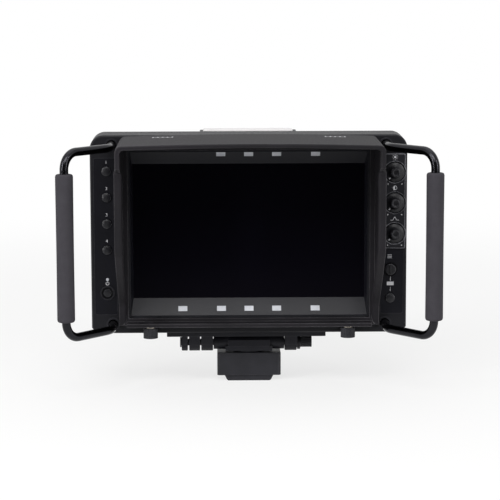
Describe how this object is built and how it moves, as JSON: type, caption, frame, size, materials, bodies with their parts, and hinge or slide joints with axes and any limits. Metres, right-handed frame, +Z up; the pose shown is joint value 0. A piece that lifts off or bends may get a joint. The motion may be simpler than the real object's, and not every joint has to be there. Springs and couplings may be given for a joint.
{
  "type": "camera viewfinder",
  "caption": "Hooded flat-panel camera viewfinder with padded side rails and picture controls, on a tilt hinge and pan turntable over a camera shoe.",
  "frame": {"origin": "centre of the shoe's underside, on the pan axis", "axes": "+X to the operator's right, the screen faces -Y, +Z up"},
  "size_m": [0.2736, 0.143, 0.1863],
  "materials": {
    "case_paint": "satin charcoal paint",
    "hood_paint": "satin charcoal paint",
    "hinge_paint": "satin black paint",
    "rod_metal": "black anodised",
    "block_metal": "black anodised",
    "steel": "plain steel",
    "brass_bush": "turned brass",
    "panel_black": "matt black",
    "control_plastic": "matt black",
    "foam": "closed foam",
    "seal_rubber": "matt",
    "screen_glass": "gloss",
    "screen_panel": "dark display",
    "window_plastic": "smoked",
    "board": "circuit board",
    "tally_plastic": "milky translucent",
    "sink_aluminium": "black anodised"
  },
  "bodies": {
    "base": {"mount_shoe": "block_metal", "base_block": "block_metal", "shoe_screws": "steel", "pan_bush": "brass_bush"},
    "yoke": {"yoke": "hinge_paint", "pan_stud": "steel", "pan_washer": "steel", "pan_nut": "steel", "hinge_pin": "steel"},
    "display": {"mount_plate": "hinge_paint", "hinge_end_cheek": "hinge_paint", "friction_unit": "hinge_paint", "hinge_knuckles": "hinge_paint", "tension_washers": "steel", "mount_plate_screws": "steel", "front_case": "case_paint", "rear_cover": "case_paint", "case_seal": "seal_rubber", "rear_cover_screws": "steel", "display_glass": "screen_glass", "display_panel": "screen_panel", "bezel_frame": "panel_black", "indicator_windows": "window_plastic", "panel_chassis": "sink_aluminium", "main_board": "board", "left_control_board": "board", "right_control_board": "board", "potentiometers": "steel", "menu_encoder": "steel", "left_control_panel": "panel_black", "right_control_panel": "panel_black", "knob_panel": "case_paint", "hood_frame": "hood_paint", "hood_top": "hood_paint", "hood_left_wing": "hood_paint", "hood_right_wing": "hood_paint", "left_handle": "rod_metal", "right_handle": "rod_metal", "left_grip": "foam", "right_grip": "foam", "handle_screws": "steel", "tally_lens": "tally_plastic", "heat_sink": "sink_aluminium", "signal_connector": "block_metal"},
    "tension_knob": {"tension_knob": "block_metal"},
    "hood_screw_left": {"hood_screw_left": "block_metal"},
    "hood_screw_right": {"hood_screw_right": "block_metal"},
    "button_1": {"button_1": "control_plastic"},
    "button_2": {"button_2": "control_plastic"},
    "button_3": {"button_3": "control_plastic"},
    "button_4": {"button_4": "control_plastic"},
    "power_button": {"power_button": "control_plastic"},
    "assign_button": {"assign_button": "control_plastic"},
    "menu_plunger": {"menu_plunger": "control_plastic"},
    "menu_knob": {"menu_knob": "control_plastic"},
    "brightness_knob": {"brightness_knob": "control_plastic"},
    "contrast_knob": {"contrast_knob": "control_plastic"},
    "peaking_knob": {"peaking_knob": "control_plastic"}
  },
  "joints": [
    {"name": "pan", "type": "hinge", "parent": "base", "child": "yoke", "pos_m": [0, 0, 0.0211], "axis": [0, 0, 1], "range_deg": [-90, 90]},
    {"name": "tilt", "type": "hinge", "parent": "yoke", "child": "display", "pos_m": [0, -0.006, 0.028], "axis": [1, 0, 0], "range_deg": [-45, 25]},
    {"name": "tension_turn", "type": "hinge", "parent": "yoke", "child": "tension_knob", "pos_m": [0.043, -0.006, 0.028], "axis": [1, 0, 0], "range_deg": [0, 360]},
    {"name": "hood_screw_turn_left", "type": "hinge", "parent": "display", "child": "hood_screw_left", "pos_m": [-0.0725, -0.033, 0.044], "axis": [0, 0, 1], "continuous": true},
    {"name": "hood_screw_turn_right", "type": "hinge", "parent": "display", "child": "hood_screw_right", "pos_m": [0.0725, -0.033, 0.044], "axis": [0, 0, 1], "continuous": true},
    {"name": "button_1_press", "type": "slide", "parent": "display", "child": "button_1", "axis": [0, 1, 0], "range_m": [0, 0.0008], "stiffness_N_per_m": 800},
    {"name": "button_2_press", "type": "slide", "parent": "display", "child": "button_2", "axis": [0, 1, 0], "range_m": [0, 0.0008], "stiffness_N_per_m": 800},
    {"name": "button_3_press", "type": "slide", "parent": "display", "child": "button_3", "axis": [0, 1, 0], "range_m": [0, 0.0008], "stiffness_N_per_m": 800},
    {"name": "button_4_press", "type": "slide", "parent": "display", "child": "button_4", "axis": [0, 1, 0], "range_m": [0, 0.0008], "stiffness_N_per_m": 800},
    {"name": "power_press", "type": "slide", "parent": "display", "child": "power_button", "axis": [0, 1, 0], "range_m": [0, 0.0008], "stiffness_N_per_m": 800},
    {"name": "assign_press", "type": "slide", "parent": "display", "child": "assign_button", "axis": [0, 1, 0], "range_m": [0, 0.0008], "stiffness_N_per_m": 800},
    {"name": "menu_press", "type": "slide", "parent": "display", "child": "menu_plunger", "axis": [0, 1, 0], "range_m": [0, 0.0005], "stiffness_N_per_m": 1500},
    {"name": "menu_turn", "type": "hinge", "parent": "menu_plunger", "child": "menu_knob", "pos_m": [0.1041, -0.026, 0.0857], "axis": [0, 1, 0], "continuous": true},
    {"name": "brightness_turn", "type": "hinge", "parent": "display", "child": "brightness_knob", "pos_m": [0.1069, -0.026, 0.15775], "axis": [0, 1, 0], "range_deg": [0, 290]},
    {"name": "contrast_turn", "type": "hinge", "parent": "display", "child": "contrast_knob", "pos_m": [0.1069, -0.026, 0.13515], "axis": [0, 1, 0], "range_deg": [0, 290]},
    {"name": "peaking_turn", "type": "hinge", "parent": "display", "child": "peaking_knob", "pos_m": [0.1069, -0.026, 0.11255], "axis": [0, 1, 0], "range_deg": [0, 290]}
  ]
}
